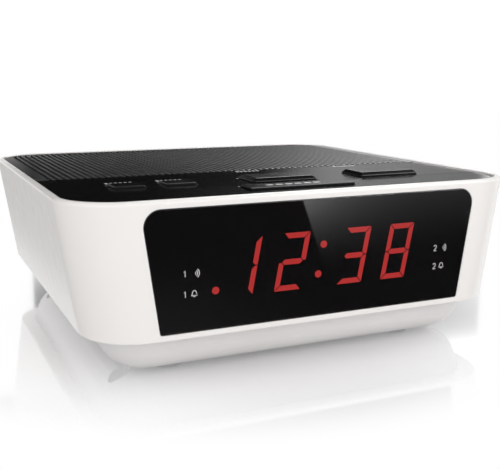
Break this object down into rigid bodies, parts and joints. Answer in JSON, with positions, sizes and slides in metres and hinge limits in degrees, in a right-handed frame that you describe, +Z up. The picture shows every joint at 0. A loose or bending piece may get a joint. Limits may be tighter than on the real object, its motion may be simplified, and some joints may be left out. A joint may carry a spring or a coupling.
{
  "type": "clock radio",
  "caption": "Compact bedside clock radio: tapered white case, black ribbed deck with keys, rockers and a snooze bar, and a red digital display behind a smoked window.",
  "frame": {"origin": "centre of the footprint, on the surface that the feet stand on", "axes": "+X to the user's right, -Y towards the user (the display), +Z up"},
  "size_m": [0.135, 0.1332, 0.049],
  "materials": {
    "white_shell": "smooth glossy white moulded plastic",
    "black_deck": "satin black moulded plastic",
    "pale_base": "satin pale grey moulded plastic",
    "smoked_window": "polished smoked acrylic",
    "mask_black": "flat black",
    "led_red": "lit red diffuser",
    "led_unlit": "unlit red diffuser",
    "board_green": "solder mask",
    "board_brown": "paper laminate",
    "key_black": "satin black moulded plastic",
    "screw_steel": "zinc-plated steel",
    "keypad_rubber": "moulded silicone",
    "foot_rubber": "black rubber",
    "surround_rubber": "soft black rubber",
    "speaker_steel": "pressed and painted steel",
    "magnet_grey": "ferrite ring",
    "cone_paper": "pressed paper",
    "chip_black": "moulded resin",
    "capacitor_sleeve": "shrink sleeve",
    "can_metal": "bright can",
    "plug_ivory": "moulded nylon",
    "ribbon_grey": "flat cable",
    "lead_red": "insulated twin lead",
    "lead_black": "insulated twin lead",
    "lead_yellow": "insulated twin lead",
    "core_iron": "stacked laminations",
    "winding_tape": "taped winding on a bobbin",
    "cell_jacket": "plain jacket",
    "contact_nickel": "nickel-plated spring steel"
  },
  "bodies": {
    "case": {"housing_shell": "white_shell", "top_deck": "black_deck", "base_tray": "pale_base", "display_window": "smoked_window", "display_mask": "mask_black", "led_reflector": "mask_black", "led_segments_on": "led_red", "led_segments_off": "led_unlit", "display_board": "board_green", "display_screws": "screw_steel", "rocker_pins": "screw_steel", "rubber_keypad": "keypad_rubber", "key_board": "board_green", "key_board_screws": "screw_steel", "speaker_frame": "speaker_steel", "speaker_magnet": "magnet_grey", "speaker_suspension": "surround_rubber", "speaker_screws": "screw_steel", "main_board": "board_brown", "main_board_screws": "screw_steel", "chips": "chip_black", "capacitors": "capacitor_sleeve", "coil_cans": "can_metal", "clock_crystal": "can_metal", "connectors": "plug_ivory", "display_ribbon": "ribbon_grey", "key_ribbon": "ribbon_grey", "speaker_lead": "lead_red", "battery_lead": "lead_black", "supply_lead": "lead_yellow", "transformer_core": "core_iron", "transformer_winding": "winding_tape", "transformer_bracket": "screw_steel", "transformer_screws": "screw_steel", "backup_cells": "cell_jacket", "battery_contacts": "contact_nickel", "rubber_feet": "foot_rubber", "case_screws": "screw_steel", "cord_gland": "foot_rubber"},
    "source_key": {"source_key": "key_black"},
    "set_key": {"set_key": "key_black"},
    "tuning_rocker": {"tuning_rocker": "key_black"},
    "volume_rocker": {"volume_rocker": "key_black"},
    "snooze_bar": {"snooze_bar": "key_black"},
    "battery_door": {"battery_door": "pale_base"},
    "speaker_cone": {"speaker_cone": "cone_paper"}
  },
  "joints": [
    {"name": "source_press", "type": "slide", "parent": "case", "child": "source_key", "axis": [0, 0, -1], "range_m": [0, 0.0005], "stiffness_N_per_m": 600, "springref_m": -0.0005, "deforming": ["rubber_keypad"]},
    {"name": "set_press", "type": "slide", "parent": "case", "child": "set_key", "axis": [0, 0, -1], "range_m": [0, 0.0005], "stiffness_N_per_m": 600, "springref_m": -0.0005, "deforming": ["rubber_keypad"]},
    {"name": "tuning_tilt", "type": "hinge", "parent": "case", "child": "tuning_rocker", "pos_m": [0, -0.0389, 0.0439], "axis": [0, 1, 0], "range_deg": [-2.5, 2.5], "stiffness_Nm_per_rad": 0.15, "deforming": ["rubber_keypad"]},
    {"name": "volume_tilt", "type": "hinge", "parent": "case", "child": "volume_rocker", "pos_m": [0.035, -0.0389, 0.0439], "axis": [0, 1, 0], "range_deg": [-2.5, 2.5], "stiffness_Nm_per_rad": 0.15, "deforming": ["rubber_keypad"]},
    {"name": "snooze_press", "type": "slide", "parent": "case", "child": "snooze_bar", "axis": [0, 0, -1], "range_m": [0, 0.0005], "stiffness_N_per_m": 600, "springref_m": -0.0005, "deforming": ["rubber_keypad"]},
    {"name": "battery_door_slide", "type": "slide", "parent": "case", "child": "battery_door", "axis": [0, 1, 0], "range_m": [0, 0.009]},
    {"name": "cone_stroke", "type": "slide", "parent": "case", "child": "speaker_cone", "axis": [0, 0, 1], "range_m": [-0.0005, 0.0005], "stiffness_N_per_m": 1000, "deforming": ["speaker_suspension"]}
  ]
}
